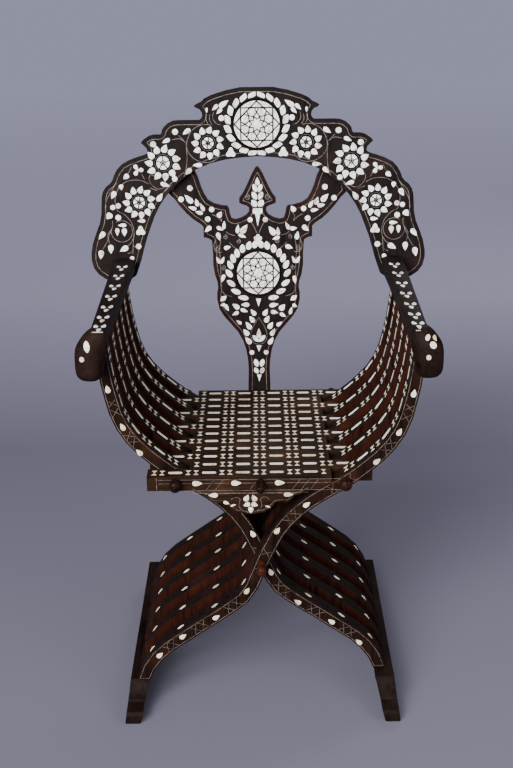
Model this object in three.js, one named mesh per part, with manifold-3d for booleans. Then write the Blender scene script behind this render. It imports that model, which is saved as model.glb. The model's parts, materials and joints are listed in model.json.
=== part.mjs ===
// Folding X-frame armchair: six pairs of curved staves crossing on one pin, a slatted seat
// hinged between them, two arms, two runners and a cusped crest rail with a vase-shaped splat.
// Lengths are in millimetres. X runs to the right, Y to the back and Z up from the floor.
import * as THREE from 'three';
import { mergeVertices } from 'three/addons/utils/BufferGeometryUtils.js';
import Module from 'manifold-3d';

const wasm = await Module();
wasm.setup();

// Frame layers, counted from the front: stave a1, stave b1, stave a2 and so on.
const pairCount = 6;
const layerDepth = 33.5;
const layerGap = 0.4;
const fitGap = 0.3;

// Heights above the floor
const seatHeight = 476;
const armHeight = 754;
const crossHeight = 302;
const runnerHeight = 58;

// Staves
const staveWidth = 25;
const staveTopWidth = 22;
const staveFootWidth = 22;
const staveFootTaper = 50;
const staveFootHalfSpan = 221;
const staveSteps = 30;

// Seat
const pivotHalfSpan = 148;
const pivotDrop = 12;
const slatHeight = 27;
const slatTail = 50;
const slatReach = 124;
const slotTravel = 21.2;
const slotEase = 0.2;
const slotBlindDepth = 8;

// Pins, their turned heads and nuts
const pinRadius = 4;
const pinClearance = 0.3;
const pivotHeadRadius = 10.6;
const pivotHeadReach = 24;
const crossHeadRadius = 9.3;
const crossHeadReach = 37;
const nutRadius = 9.5;
const nutReach = 20;
const nutGrip = 8;
const seatKnobRadius = 8.2;
const seatKnobReach = 38;
const holeSides = 16;
const turnedSides = 16;

// Arms
const armHalfSpan = 264;
const armInset = 6;
const armWidth = 42;
const armFrontWidth = 27;
const armThickness = 26;
const armRound = 4;
const knuckleLength = 62;
const knuckleReach = 43;
const knuckleInset = 17;
const knuckleWidth = 43;
const knuckleHeight = 90;
const knuckleSteps = 36;

// Runners
const runnerInner = 210;
const runnerWidth = 36;
const toeLength = 58;
const toeReach = 54;
const toeHeight = 24;
const heelReach = 34;
const cutMargin = 10;

// Apron under the front slat
const apronOffset = -18;
const apronEndGap = 14.5;
const apronDropShare = 0.32;
const apronThickness = 18;

// Back boards
const backLean = THREE.MathUtils.degToRad(7);
const boardGap = 0.3;
const crestThickness = 20;
const crestOverhang = 66;
const crestFootDrop = 49;
const crestRise = 373;
const splatThickness = 18;
const splatHalfWidth = 176;
const splatTopRise = 221;
const hornScrewOffset = 150;
const hornScrewLift = 200;
const screwRadius = 2.5;
const screwHeadRadius = 5;
const screwHeadHeight = 2.4;
const screwHeadRimShare = 0.8;
const screwHeadRiseShare = 0.7;
const screwBite = 12;

// Worked out from the sizes above
const staveTopHalfSpan = armHalfSpan + armInset;
const crestHalfWidth = armHalfSpan + crestOverhang;
const layerPitch = layerDepth + layerGap;
const layerCount = 2 * pairCount;
const frameDepth = layerCount * layerDepth + (layerCount - 1) * layerGap;
const pivotHeight = seatHeight - pivotDrop;
const armUnderside = armHeight - armThickness;
const staveTop = armUnderside - fitGap;
const staveFoot = runnerHeight + fitGap;
const slatBottom = seatHeight - slatHeight;
const crossPoint = [0, crossHeight];
const pivotPoint = [pivotHalfSpan, pivotHeight];

const leanTan = Math.tan(backLean);
const leanCos = Math.cos(backLean);
const boardFootY = frameDepth + fitGap;
const crestFootRise = (armHeight - crestFootDrop - slatBottom) / leanCos;
const splatHeight = crestFootRise + splatTopRise;
const hornScrewRise = crestFootRise + hornScrewLift;
const apronDrop = apronDropShare * (slatBottom - crossHeight);
const crestFaceY = (height) => boardFootY + (height - slatBottom) * leanTan
  - (crestThickness + boardGap) / leanCos;

// Centre line of a stave that rises to the right. The upper and middle shares run from the
// cross pin to the seat pivot and from there to the arm, the lower ones down to the runner.
const lowerShares = [
  [1, 1], [0.961, 0.906], [0.909, 0.826], [0.82, 0.735], [0.706, 0.656], [0.479, 0.508],
  [0.285, 0.385], [0.122, 0.258], [0.054, 0.127],
];
const middleShares = [
  [0, 0], [0.095, 0.191], [0.162, 0.321], [0.257, 0.463], [0.351, 0.562], [0.5, 0.698],
  [0.635, 0.79], [0.81, 0.895], [1, 1],
];
const upperShares = [
  [0.123, 0.042], [0.262, 0.095], [0.41, 0.152], [0.533, 0.216], [0.656, 0.28], [0.754, 0.36],
  [0.836, 0.458], [0.885, 0.557], [0.934, 0.67], [0.984, 0.86], [1, 1],
];

// Half outlines, from the middle line outward, as shares of half width and height.
const crestShares = [
  [0, 1], [0.096, 0.999], [0.182, 0.984], [0.264, 0.962], [0.303, 0.946], [0.325, 0.928],
  [0.347, 0.92], [0.367, 0.909], [0.356, 0.898], [0.333, 0.89], [0.321, 0.874], [0.318, 0.858],
  [0.324, 0.845], [0.339, 0.836], [0.382, 0.836], [0.451, 0.836], [0.49, 0.834], [0.52, 0.823],
  [0.544, 0.804], [0.556, 0.788], [0.559, 0.772], [0.568, 0.764], [0.61, 0.764], [0.633, 0.759],
  [0.667, 0.74], [0.682, 0.724], [0.665, 0.71], [0.648, 0.694], [0.643, 0.678], [0.65, 0.668],
  [0.668, 0.66], [0.711, 0.649], [0.756, 0.635], [0.8, 0.614], [0.828, 0.587], [0.847, 0.558],
  [0.858, 0.531], [0.873, 0.515], [0.897, 0.499], [0.915, 0.475], [0.924, 0.448], [0.927, 0.413],
  [0.93, 0.359], [0.942, 0.308], [0.967, 0.255], [0.988, 0.204], [1, 0.15], [1, 0.113],
  [0.988, 0.07], [0.961, 0.038], [0.921, 0.013], [0.873, 0], [0.818, 0], [0.77, 0.008],
  [0.736, 0.029], [0.721, 0.067], [0.703, 0.113], [0.688, 0.164], [0.667, 0.225], [0.642, 0.284],
  [0.618, 0.338], [0.585, 0.394], [0.542, 0.448], [0.494, 0.496], [0.433, 0.542], [0.361, 0.584],
  [0.279, 0.614], [0.191, 0.633], [0.103, 0.643], [0, 0.649],
];
const splatShares = [
  [0, 1], [0.023, 0.994], [0.062, 0.969], [0.097, 0.942], [0.131, 0.914], [0.165, 0.891],
  [0.205, 0.871], [0.205, 0.852], [0.17, 0.846], [0.125, 0.841], [0.097, 0.833], [0.097, 0.816],
  [0.125, 0.802], [0.188, 0.789], [0.25, 0.783], [0.295, 0.787], [0.312, 0.804], [0.324, 0.829],
  [0.341, 0.839], [0.403, 0.841], [0.494, 0.85], [0.562, 0.866], [0.602, 0.891], [0.636, 0.921],
  [0.67, 0.962], [0.716, 0.996], [0.852, 0.987], [0.972, 0.933], [1, 0.896], [0.932, 0.871],
  [0.875, 0.843], [0.801, 0.812], [0.727, 0.787], [0.648, 0.768], [0.614, 0.756], [0.614, 0.712],
  [0.562, 0.708], [0.523, 0.699], [0.517, 0.678], [0.511, 0.639], [0.511, 0.597], [0.494, 0.555],
  [0.466, 0.524], [0.46, 0.501], [0.472, 0.478], [0.472, 0.449], [0.449, 0.409], [0.398, 0.378],
  [0.318, 0.344], [0.239, 0.309], [0.182, 0.271], [0.148, 0.232], [0.128, 0.188], [0.122, 0.144],
  [0.128, 0.073], [0.128, 0],
];
const apronShares = [
  [0, -1], [0.117, -0.957], [0.243, -0.894], [0.35, -0.723], [0.447, -0.511], [0.553, -0.489],
  [0.631, -0.511], [0.718, -0.383], [0.748, -0.234], [0.854, -0.17], [0.932, -0.021], [1, 0],
];
// Ring around a knuckle seen from the side, as shares of its length and height.
const knuckleRingShares = [
  [1, 0.7], [0.95, 0.48], [0.83, 0.25], [0.65, 0.076], [0.45, 0], [0.26, 0.022], [0.11, 0.13],
  [0.02, 0.31], [0, 0.5], [0.035, 0.7], [0.12, 0.86], [0.26, 0.955], [0.42, 0.985], [0.6, 0.965],
  [0.78, 0.9], [0.92, 0.81],
];
// The ring across a knuckle's width: place, size, then how far it moves forward and down.
const knuckleMiddleShare = [0.45, 0.5];
const knuckleBulgeShares = [
  [0, 0.72, 0, 0], [0.05, 0.82, 0, 0], [0.13, 0.91, 0, 0], [0.25, 0.975, 0, 0], [0.38, 1, 0, 0],
  [0.5, 0.985, 0.005, 0.006], [0.6, 0.94, 0.015, 0.025], [0.7, 0.88, 0.03, 0.045],
  [0.8, 0.8, 0.05, 0.07], [0.88, 0.71, 0.07, 0.08], [0.94, 0.63, 0.085, 0.09],
  [0.98, 0.54, 0.1, 0.095], [1, 0.45, 0.11, 0.1],
];
// Where an arm's bar ends on the knuckle, as a share of the knuckle's length.
const barStartShare = 0.25;
// Path of the middle pin's centre in a slat of row a, as shares of its travel.
const slotPathShares = [
  [0, 0], [-0.307, -0.151], [-0.571, -0.226], [-0.783, -0.241], [-0.929, -0.198],
  [-1, -0.123], [-0.986, -0.019], [-0.882, 0.085], [-0.684, 0.179], [-0.392, 0.241],
  [-0.014, 0.25],
];
// Toe of a runner, from its tip back to the first stave, as shares of reach and height.
const toeShares = [[0, 0], [-0.03, 0.25], [-0.03, 0.75], [0.05, 1], [0.55, 1.08]];
const toeRiseShares = [[0.56, 0.17], [0.72, 0.3], [0.86, 0.55], [0.95, 0.82], [0.985, 1]];
// Cross-section of a runner, as shares of its width and height: it leans outward to the sole.
const runnerShares = [[0.444, 0], [1.194, 0], [1, 1], [0, 1]];
// Turned shapes, as shares of radius and reach, measured outward from the wood.
const headShares = [
  [0, 1], [0.2, 0.985], [0.3, 0.94], [0.34, 0.88], [0.62, 0.86], [0.9, 0.78], [1, 0.68],
  [1, 0.58], [0.8, 0.5], [0.64, 0.44], [0.68, 0.34], [0.9, 0.25], [0.97, 0.12], [0.95, 0],
];

const walnut = (shade) => new THREE.MeshStandardMaterial({
  color: shade, roughness: 0.45, metalness: 0,
});
const staveWood = '#33201a';
const slatWood = '#2c1b17';
const boardWood = '#3a231c';
const turnedWood = '#6b3a26';
const steel = new THREE.MeshStandardMaterial({
  color: '#8f8c86', roughness: 0.4, metalness: 0.9,
});

const chair = new THREE.Group();
const back = new THREE.Group();

function place(name, geometry, material, group = chair) {
  const mesh = new THREE.Mesh(geometry, material);
  mesh.name = name;
  group.add(mesh);
  return mesh;
}

// Turns a geometry inside out where its signed volume is negative.
function faceOutward(geometry) {
  const flat = geometry.index ? geometry.toNonIndexed() : geometry;
  const spot = flat.attributes.position;
  const a = new THREE.Vector3();
  const b = new THREE.Vector3();
  const c = new THREE.Vector3();
  let volume = 0;
  for (let i = 0; i < spot.count; i += 3) {
    a.fromBufferAttribute(spot, i);
    b.fromBufferAttribute(spot, i + 1);
    c.fromBufferAttribute(spot, i + 2);
    volume += a.dot(b.cross(c));
  }
  if (volume > 0) return flat;
  const array = spot.array;
  for (let i = 0; i < array.length; i += 9) {
    for (let k = 0; k < 3; k += 1) {
      const kept = array[i + k];
      array[i + k] = array[i + 3 + k];
      array[i + 3 + k] = kept;
    }
  }
  return flat;
}

function toSolid(geometry) {
  const bare = faceOutward(geometry).clone();
  bare.deleteAttribute('normal');
  bare.deleteAttribute('uv');
  const merged = mergeVertices(bare);
  return new wasm.Manifold(new wasm.Mesh({
    numProp: 3,
    vertProperties: new Float32Array(merged.attributes.position.array),
    triVerts: new Uint32Array(merged.index.array),
  }));
}

function toGeometry(solid) {
  const mesh = solid.getMesh();
  const geometry = new THREE.BufferGeometry();
  const spots = new Float32Array(mesh.numVert * 3);
  for (let i = 0; i < mesh.numVert; i += 1) {
    for (let k = 0; k < 3; k += 1) spots[3 * i + k] = mesh.vertProperties[mesh.numProp * i + k];
  }
  geometry.setAttribute('position', new THREE.BufferAttribute(spots, 3));
  geometry.setIndex(new THREE.BufferAttribute(new Uint32Array(mesh.triVerts), 1));
  geometry.computeVertexNormals();
  return geometry;
}

const toVectors = (points) => points.map(([x, y]) => new THREE.Vector2(x, y));

function shapeOf(points, holes = []) {
  const shape = new THREE.Shape(toVectors(points));
  holes.forEach((hole) => shape.holes.push(new THREE.Path(toVectors(hole))));
  return shape;
}

// A board whose outline is drawn in X and Z and whose thickness runs back from frontY.
function frontBoard(points, frontY, thickness, holes = []) {
  const geometry = new THREE.ExtrudeGeometry(shapeOf(points, holes), {
    depth: thickness, bevelEnabled: false,
  });
  geometry.rotateX(Math.PI / 2);
  geometry.translate(0, frontY + thickness, 0);
  return geometry;
}

// A block whose outline is drawn in Y and Z and whose width runs from leftX.
function sideBlock(points, leftX, width) {
  const geometry = new THREE.ExtrudeGeometry(shapeOf(points), {
    depth: width, bevelEnabled: false,
  });
  geometry.applyMatrix4(new THREE.Matrix4().makeBasis(
    new THREE.Vector3(0, 1, 0), new THREE.Vector3(0, 0, 1), new THREE.Vector3(1, 0, 0),
  ));
  geometry.translate(leftX, 0, 0);
  return geometry;
}

// A slab whose outline is drawn in X and Y, with its long edges rounded.
function planSlab(points, bottom, height, round) {
  const geometry = new THREE.ExtrudeGeometry(shapeOf(points), {
    depth: height - 2 * round,
    bevelThickness: round,
    bevelSize: round,
    bevelOffset: -round,
    bevelSegments: 2,
  });
  geometry.translate(0, 0, bottom + round);
  return geometry;
}

function ringPoints([x, z], radius, sides = holeSides) {
  return Array.from({ length: sides }, (_, i) => {
    const turn = (2 * Math.PI * i) / sides;
    return [x + radius * Math.cos(turn), z + radius * Math.sin(turn)];
  });
}

const mirrored = (points) => points.map(([x, z]) => [-x, z]).reverse();

// Keeps the part of an outline above (side 1) or below (side -1) a level.
function trimmed(points, level, side) {
  const kept = [];
  points.forEach((spot, i) => {
    const next = points[(i + 1) % points.length];
    const here = side * (spot[1] - level);
    const there = side * (next[1] - level);
    if (here >= 0) kept.push(spot);
    if ((here > 0 && there < 0) || (here < 0 && there > 0)) {
      const share = here / (here - there);
      kept.push([spot[0] + share * (next[0] - spot[0]), level]);
    }
  });
  return kept;
}

// Staves
function staveCentre() {
  const lower = lowerShares.map(([x, z]) => [
    -x * staveFootHalfSpan, crossHeight - z * (crossHeight - runnerHeight),
  ]);
  const middle = middleShares.map(([x, z]) => [
    x * pivotHalfSpan, crossHeight + z * (pivotHeight - crossHeight),
  ]);
  const upper = upperShares.map(([x, z]) => [
    pivotHalfSpan + x * (staveTopHalfSpan - pivotHalfSpan),
    pivotHeight + z * (armUnderside - pivotHeight),
  ]);
  const spots = [...lower, ...middle, ...upper].map(([x, z]) => new THREE.Vector3(x, 0, z));
  return new THREE.CatmullRomCurve3(spots, false, 'centripetal');
}

// Both edges of a stave: the left and upper one, and the right and lower one.
function staveEdges(extra = 0) {
  const curve = staveCentre();
  const inner = [];
  const outer = [];
  const add = (spot, along) => {
    const rise = THREE.MathUtils.clamp((spot.z - pivotHeight) / (armUnderside - pivotHeight), 0, 1);
    const drop = THREE.MathUtils.clamp(1 - (spot.z - runnerHeight) / staveFootTaper, 0, 1);
    const half = (staveWidth + (staveTopWidth - staveWidth) * rise
      + (staveFootWidth - staveWidth) * drop) / 2 + extra;
    inner.push([spot.x - half * along.z, spot.z + half * along.x]);
    outer.push([spot.x + half * along.z, spot.z - half * along.x]);
  };
  const start = curve.getTangentAt(0);
  const end = curve.getTangentAt(1);
  add(curve.getPointAt(0).addScaledVector(start, -staveWidth), start);
  for (let i = 0; i <= staveSteps; i += 1) {
    add(curve.getPointAt(i / staveSteps), curve.getTangentAt(i / staveSteps));
  }
  add(curve.getPointAt(1).addScaledVector(end, staveWidth), end);
  return { inner, outer };
}

function staveOutline() {
  const { inner, outer } = staveEdges();
  const loop = [...outer, ...inner.reverse()];
  return trimmed(trimmed(loop, staveFoot, 1), staveTop, -1);
}

const layerFront = (layer) => layer * layerPitch;
const staveRight = staveOutline();
const boreRadius = pinRadius + pinClearance;
for (let pair = 0; pair < pairCount; pair += 1) {
  const holes = [crossPoint, pivotPoint].map((spot) => ringPoints(spot, boreRadius));
  place(`stave_a${pair + 1}`, frontBoard(staveRight, layerFront(2 * pair), layerDepth, holes),
    walnut(staveWood));
  place(`stave_b${pair + 1}`, frontBoard(mirrored(staveRight), layerFront(2 * pair + 1),
    layerDepth, holes.map(mirrored)), walnut(staveWood));
}

// Seat slats: a slat of row a hangs on the left pivot and its free end lies on a stave.
function slatOutline() {
  const { inner } = staveEdges(fitGap);
  const edge = inner.filter(([x, z]) => x > 0 && z > slatBottom && z < seatHeight && x < slatReach);
  const crossing = (axis, level) => {
    for (let i = 1; i < inner.length; i += 1) {
      const [from, to] = [inner[i - 1], inner[i]];
      if (to[0] > 0 && from[axis] <= level && to[axis] > level) {
        const share = (level - from[axis]) / (to[axis] - from[axis]);
        return [from[0] + share * (to[0] - from[0]), from[1] + share * (to[1] - from[1])];
      }
    }
    return inner[inner.length - 1];
  };
  const low = crossing(1, slatBottom);
  const tip = crossing(0, slatReach);
  const tail = -pivotHalfSpan - slatTail;
  const end = tip[1] < seatHeight ? [tip, [slatReach, seatHeight]] : [crossing(1, seatHeight)];
  return [[tail, slatBottom], low, ...edge, ...end, [tail, seatHeight]];
}

// Smallest outline around a cloud of points.
function hullOf(points) {
  const sorted = [...points].sort((p, q) => p[0] - q[0] || p[1] - q[1]);
  const turnOf = (o, p, q) => (p[0] - o[0]) * (q[1] - o[1]) - (p[1] - o[1]) * (q[0] - o[0]);
  const chain = (list) => {
    const kept = [];
    list.forEach((spot) => {
      while (kept.length > 1 && turnOf(kept[kept.length - 2], kept[kept.length - 1], spot) <= 0) {
        kept.pop();
      }
      kept.push(spot);
    });
    return kept.slice(0, -1);
  };
  return [...chain(sorted), ...chain(sorted.reverse())];
}

// The middle pin wanders a little in its slots while the seat folds.
function slotOutline() {
  return hullOf(slotPathShares.flatMap(([along, rise], i) => ringPoints(
    [along * slotTravel, pivotHeight + rise * slotTravel],
    boreRadius + (i === 0 ? 0 : slotEase),
  )));
}

const slatRight = slatOutline();
const slotRight = slotOutline();
const seatHole = ringPoints([-pivotHalfSpan, pivotHeight], boreRadius);
for (let layer = 0; layer < layerCount; layer += 1) {
  const row = layer % 2 === 0 ? 'a' : 'b';
  const turn = row === 'a' ? (points) => points : mirrored;
  const name = `seat_slat_${row}${Math.floor(layer / 2) + 1}`;
  const front = layerFront(layer);
  const blindFront = layer === 0;
  const blindRear = layer === layerCount - 1;
  if (blindFront || blindRear) {
    const slat = toSolid(frontBoard(turn(slatRight), front, layerDepth, [turn(seatHole)]));
    const slotFront = front + (blindFront ? slotBlindDepth : -fitGap);
    const slot = toSolid(frontBoard(turn(slotRight), slotFront,
      layerDepth - slotBlindDepth + fitGap));
    place(name, toGeometry(slat.subtract(slot)), walnut(slatWood));
  } else {
    place(name, frontBoard(turn(slatRight), front, layerDepth, [turn(seatHole), turn(slotRight)]),
      walnut(slatWood));
  }
}

// Apron under the front slat: its right end stays clear of the first stave.
const apronHalfWidth = slatRight[1][0] - apronEndGap - apronOffset;
const apronRight = apronShares.map(([x, z]) => [
  apronOffset + x * apronHalfWidth, slatBottom - fitGap + z * apronDrop,
]);
const apronLeft = apronShares.slice(1).reverse().map(([x, z]) => [
  apronOffset - x * apronHalfWidth, slatBottom - fitGap + z * apronDrop,
]);
place('front_apron', frontBoard([...apronLeft, ...apronRight], layerFront(0), apronThickness),
  walnut(boardWood));

// Turned pins: a knob at the front and a plain shank.
function turned(profile) {
  return faceOutward(new THREE.LatheGeometry(toVectors(profile), turnedSides));
}
function pinGeometry(radius, reach, length) {
  return turned([
    ...headShares.map(([r, y]) => [r * radius, -fitGap - y * reach]),
    [pinRadius, -fitGap], [pinRadius, length], [0, length],
  ]);
}
function nutGeometry() {
  const bore = nutGrip + fitGap;
  return turned([
    [0, bore], [boreRadius, bore], [boreRadius, fitGap],
    ...headShares.slice().reverse().map(([r, y]) => [r * nutRadius, fitGap + y * nutReach]),
  ]);
}
const pivotHead = [pivotHeadRadius, pivotHeadReach];
[
  ['cross_pin', 'cross_nut', [crossHeadRadius, crossHeadReach], 0, crossHeight],
  ['left_pivot_pin', 'left_pivot_nut', pivotHead, -pivotHalfSpan, pivotHeight],
  ['right_pivot_pin', 'right_pivot_nut', pivotHead, pivotHalfSpan, pivotHeight],
].forEach(([pin, nut, [radius, reach], x, z]) => {
  place(pin, pinGeometry(radius, reach, frameDepth + nutGrip), walnut(turnedWood))
    .position.set(x, 0, z);
  place(nut, nutGeometry(), walnut(turnedWood)).position.set(x, frameDepth, z);
});
const middleFront = slotBlindDepth + fitGap;
const middleLength = frameDepth - 2 * middleFront;
place('middle_pin', turned([
  [0, 0], [pinRadius, 0], [pinRadius, middleLength], [0, middleLength],
]), walnut(turnedWood)).position.set(0, middleFront, pivotHeight);
place('seat_knob', turned([
  ...headShares.map(([r, y]) => [r * seatKnobRadius, -fitGap - y * seatKnobReach]),
  [0, -fitGap],
]), walnut(turnedWood)).position.set(0, 0, pivotHeight);

// Arms: a bar with a rounded rear end and a bulging knuckle that turns down at the front.
const armInner = armHalfSpan - armWidth / 2;
const armRear = (height) => crestFaceY(height) - fitGap;
const barFront = -knuckleReach + barStartShare * knuckleLength;
function knuckleSolid() {
  const [midY, midZ] = knuckleMiddleShare;
  const ring = new THREE.CatmullRomCurve3(knuckleRingShares.map(
    ([y, z]) => new THREE.Vector3(0, y, z),
  ), true, 'centripetal').getPoints(knuckleSteps);
  const bulge = knuckleBulgeShares.flatMap(([x, size, forward, down]) => ring.map((spot) => [
    armInner + knuckleInset + x * knuckleWidth,
    -knuckleReach + (midY - forward + (spot.y - midY) * size) * knuckleLength,
    armHeight + (midZ - down + (spot.z - midZ) * size - 1) * knuckleHeight,
  ]));
  const half = armFrontWidth / 2;
  const barEnd = [
    [half, armUnderside], [half, armHeight - armRound], [half - armRound, armHeight],
  ].flatMap(([x, z]) => [-x, x].flatMap((side) => [barFront + armRound, 0].map(
    (y) => [armHalfSpan + side, y, z],
  )));
  return wasm.Manifold.hull([...bulge, ...barEnd]);
}
function armSolid() {
  const tip = armRear(armHeight);
  const rear = [];
  for (let i = 0; i <= turnedSides / 2; i += 1) {
    const turn = (2 * Math.PI * i) / turnedSides;
    rear.push([
      armHalfSpan - (armWidth / 2) * Math.cos(turn),
      tip - armWidth / 2 + (armWidth / 2) * Math.sin(turn),
    ]);
  }
  const plan = [
    ...rear,
    [armHalfSpan + armFrontWidth / 2, barFront + armRound],
    [armHalfSpan + armFrontWidth / 2 - armRound, barFront],
    [armHalfSpan - armFrontWidth / 2 + armRound, barFront],
    [armHalfSpan - armFrontWidth / 2, barFront + armRound],
  ];
  const side = [
    [-knuckleReach, armUnderside], [armRear(armUnderside), armUnderside], [tip, armHeight],
    [-knuckleReach, armHeight],
  ];
  const bar = toSolid(sideBlock(side, armInner, armWidth)).intersect(
    toSolid(planSlab(plan, armUnderside, armThickness, armRound)),
  );
  return bar.add(knuckleSolid());
}
// Room for the head of the first stave under an arm.
function staveRoom(firstLayer) {
  const front = layerFront(firstLayer) - fitGap;
  const bottom = armHeight - knuckleHeight - cutMargin;
  const left = armInner - cutMargin;
  return toSolid(sideBlock([
    [front, bottom], [frameDepth, bottom], [frameDepth, armUnderside], [front, armUnderside],
  ], left, staveTopHalfSpan + staveTopWidth / 2 + fitGap - left));
}
const armRight = armSolid();
place('arm_right', toGeometry(armRight.subtract(staveRoom(0))), walnut(boardWood));
place('arm_left', toGeometry(armRight.subtract(staveRoom(1)).mirror([1, 0, 0])),
  walnut(boardWood));

// Runners
const toe = [
  ...toeShares.map(([y, z]) => [-toeReach + y * toeLength, z * toeHeight]),
  ...toeRiseShares.map(([y, z]) => [
    -toeReach + y * toeLength, toeHeight + z * (runnerHeight - toeHeight),
  ]),
];
const heel = frameDepth + heelReach;
const runnerSide = [...toe, [heel, runnerHeight], [heel, 0]].reverse();
const runnerSection = runnerShares.map(([x, z]) => [
  runnerInner + x * runnerWidth, z * runnerHeight,
]);
const runnerSpread = Math.max(...runnerShares.map(([x]) => x)) * runnerWidth;
const runnerRight = toSolid(
  sideBlock(runnerSide, runnerInner - cutMargin, runnerSpread + 2 * cutMargin),
).intersect(toSolid(frontBoard(runnerSection, -toeReach - cutMargin, heel + toeReach + 2 * cutMargin)));
place('runner_right', toGeometry(runnerRight), walnut(boardWood));
place('runner_left', toGeometry(runnerRight.mirror([1, 0, 0])), walnut(boardWood));

// Back: the splat stands in a leaning plane behind the seat and carries the crest rail on the
// front of its two horns.
function bothSides(shares, halfWidth, bottom, height) {
  const right = shares.map(([x, z]) => [x * halfWidth, bottom + z * height]);
  const left = right.filter(([x]) => x > 0).map(([x, z]) => [-x, z]).reverse();
  return [...right, ...left];
}
back.position.set(0, boardFootY, slatBottom);
back.rotation.x = -backLean;
chair.add(back);
const crestFront = -crestThickness - boardGap;
const screwSpots = [-1, 1].map((side) => [side * hornScrewOffset, hornScrewRise]);
const screwHole = (radius) => screwSpots.map((spot) => ringPoints(spot, radius));
const crestBlank = toSolid(frontBoard(
  bothSides(crestShares, crestHalfWidth, crestFootRise, crestRise), crestFront, crestThickness,
));
const screwStart = -boardGap - screwBite;
const crestHoles = screwHole(screwRadius + pinClearance).map((hole) => toSolid(
  frontBoard(hole, screwStart - fitGap, screwBite + 2 * fitGap + boardGap),
));
place('crest_rail', toGeometry(crestHoles.reduce((board, hole) => board.subtract(hole), crestBlank)),
  walnut(boardWood), back);
place('back_splat', frontBoard(bothSides(splatShares, splatHalfWidth, 0, splatHeight), 0,
  splatThickness, screwHole(screwRadius + pinClearance)), walnut(boardWood), back);
screwSpots.forEach(([x, z], i) => {
  const headY = splatThickness + fitGap;
  place(`horn_screw_${i === 0 ? 'left' : 'right'}`, turned([
    [0, screwStart], [screwRadius, screwStart], [screwRadius, headY],
    [screwHeadRadius, headY],
    [screwHeadRadius * screwHeadRimShare, headY + screwHeadHeight * screwHeadRiseShare],
    [0, headY + screwHeadHeight],
  ]), steel, back).position.set(x, 0, z);
});

// The origin lies on the floor below the middle of the chair.
chair.updateMatrixWorld(true);
const bounds = new THREE.Box3().setFromObject(chair, true);
chair.position.y = -(bounds.min.y + bounds.max.y) / 2;
chair.updateMatrixWorld(true);

export default chair;
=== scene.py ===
"""Moorish folding armchair: dark walnut with mother-of-pearl, camel bone and tin let in.

The walnut pieces are copies of the solids with eased edges. The inlay is thin real work, let into
the faces where the chair shows it. The property groups hold sizes in metres. The tables of places
are in millimetres, measured on the photograph and rounded.
"""

import json
import math
from bisect import bisect_right
from functools import cache

import bmesh
import bpy
from bpy.props import FloatProperty, PointerProperty, StringProperty
from mathutils import Matrix, Vector
from mathutils.bvhtree import BVHTree
from mathutils.kdtree import KDTree


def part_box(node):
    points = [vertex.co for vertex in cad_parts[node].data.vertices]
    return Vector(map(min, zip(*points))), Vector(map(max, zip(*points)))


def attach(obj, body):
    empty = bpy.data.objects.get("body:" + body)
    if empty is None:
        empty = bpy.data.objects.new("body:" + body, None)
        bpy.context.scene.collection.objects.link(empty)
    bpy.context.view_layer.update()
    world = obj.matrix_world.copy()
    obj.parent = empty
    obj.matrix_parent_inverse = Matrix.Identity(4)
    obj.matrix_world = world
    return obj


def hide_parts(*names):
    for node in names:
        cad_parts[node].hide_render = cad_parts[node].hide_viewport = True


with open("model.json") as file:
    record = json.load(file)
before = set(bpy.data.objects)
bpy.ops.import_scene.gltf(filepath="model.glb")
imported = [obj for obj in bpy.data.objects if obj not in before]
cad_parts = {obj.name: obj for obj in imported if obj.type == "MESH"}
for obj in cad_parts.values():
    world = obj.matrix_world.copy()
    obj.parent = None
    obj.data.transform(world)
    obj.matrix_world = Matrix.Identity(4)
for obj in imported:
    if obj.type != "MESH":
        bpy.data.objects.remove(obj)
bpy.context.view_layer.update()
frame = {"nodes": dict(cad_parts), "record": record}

bl_info = {
    "name": "Moorish folding armchair",
    "version": (1, 0, 0),
    "blender": (4, 5, 0),
    "location": "View3D > Sidebar > Armchair",
    "description": "Dresses the folding armchair: eased walnut, shell and tin inlay, turned knobs",
    "category": "Object",
}

MM = 0.001
STAVES_A, STAVES_B, SLATS_A, SLATS_B = (
    [kind + str(k) for k in range(1, 7)]
    for kind in ("stave_a", "stave_b", "seat_slat_a", "seat_slat_b"))
BODY_OF = {n: b for b, members in frame["record"]["behaviour"]["bodies"].items() for n in members}


# Settings

class ChairSizes(bpy.types.PropertyGroup):
    easing: FloatProperty(
        name="Edge easing", description="How far the worn edges are rounded",
        default=0.0012, subtype="DISTANCE")
    inlay_rise: FloatProperty(
        name="Inlay rise", description="How far shell, bone and tin stand proud of the wood",
        default=0.00025, subtype="DISTANCE")
    inlay_depth: FloatProperty(
        name="Inlay depth", description="How deep shell, bone and tin are let in",
        default=0.0008, subtype="DISTANCE")
    string_width: FloatProperty(
        name="Stringing width", description="Width of the tin lines",
        default=0.0007, subtype="DISTANCE")


class ChairColours(bpy.types.PropertyGroup):
    walnut_light: StringProperty(
        name="Walnut, light streaks", description="sRGB hex", default="1d120e")
    walnut_dark: StringProperty(
        name="Walnut, dark growth lines", description="sRGB hex", default="0a0606")
    shell: StringProperty(name="Mother-of-pearl", description="sRGB hex", default="f6f2ea")
    bone: StringProperty(name="Camel bone", description="sRGB hex", default="e6d9bf")
    tin: StringProperty(name="Tin stringing", description="sRGB hex", default="857b71")
    floor: StringProperty(name="Floor", description="sRGB hex", default="6b6877")
    # the far floor's paler tone is painted light
    wall: StringProperty(
        name="Far floor", description="sRGB hex, paler in the distance", default="8f8fa6")


def sizes():
    return bpy.context.scene.chair_sizes


def colours():
    return bpy.context.scene.chair_colours


# Materials

STREAK, PORE, PATCH = 11.11, 1.111, 71.43    # mm between walnut's streaks, pores, rubbed patches
ALONG_GRAIN = 0.08    # how slowly the wood changes along its grain, beside across it


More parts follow.
